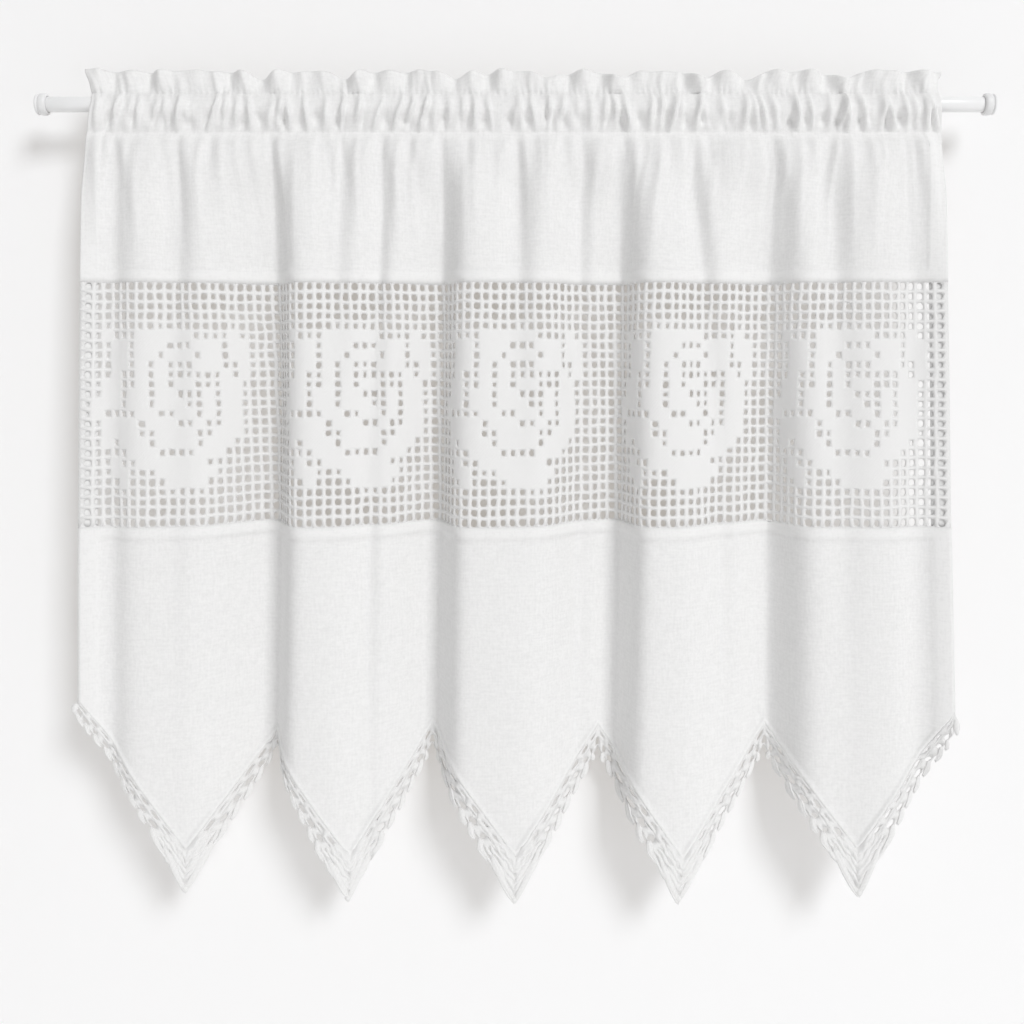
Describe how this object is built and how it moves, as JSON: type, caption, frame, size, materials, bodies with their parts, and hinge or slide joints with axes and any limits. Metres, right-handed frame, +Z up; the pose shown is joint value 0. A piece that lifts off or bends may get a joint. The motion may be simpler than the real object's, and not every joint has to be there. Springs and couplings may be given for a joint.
{
  "type": "crochet lace cafe curtain on a slim rod",
  "caption": "Short gathered cafe curtain on a slim rod, with a ruffled heading, a crochet lace band with roses and a pointed hem with crochet edging.",
  "frame": {"origin": "on the rod's axis, at the middle of the rod's length", "axes": "+X along the rod to the right as seen from the room, +Z up, and the front of the curtain faces -Y"},
  "size_m": [0.5744, 0.0319, 0.4959],
  "materials": {
    "rod_paint": "satin white paint",
    "cap_plastic": "smooth white",
    "linen_cloth": "white plain weave, slightly slubby",
    "crochet_cotton": "white crocheted cotton yarn"
  },
  "bodies": {
    "root": {"rod": "rod_paint", "end_cap_left": "cap_plastic", "end_cap_right": "cap_plastic", "top_panel": "linen_cloth", "lower_panel": "linen_cloth", "lace_band": "crochet_cotton", "edging": "crochet_cotton"}
  },
  "joints": []
}
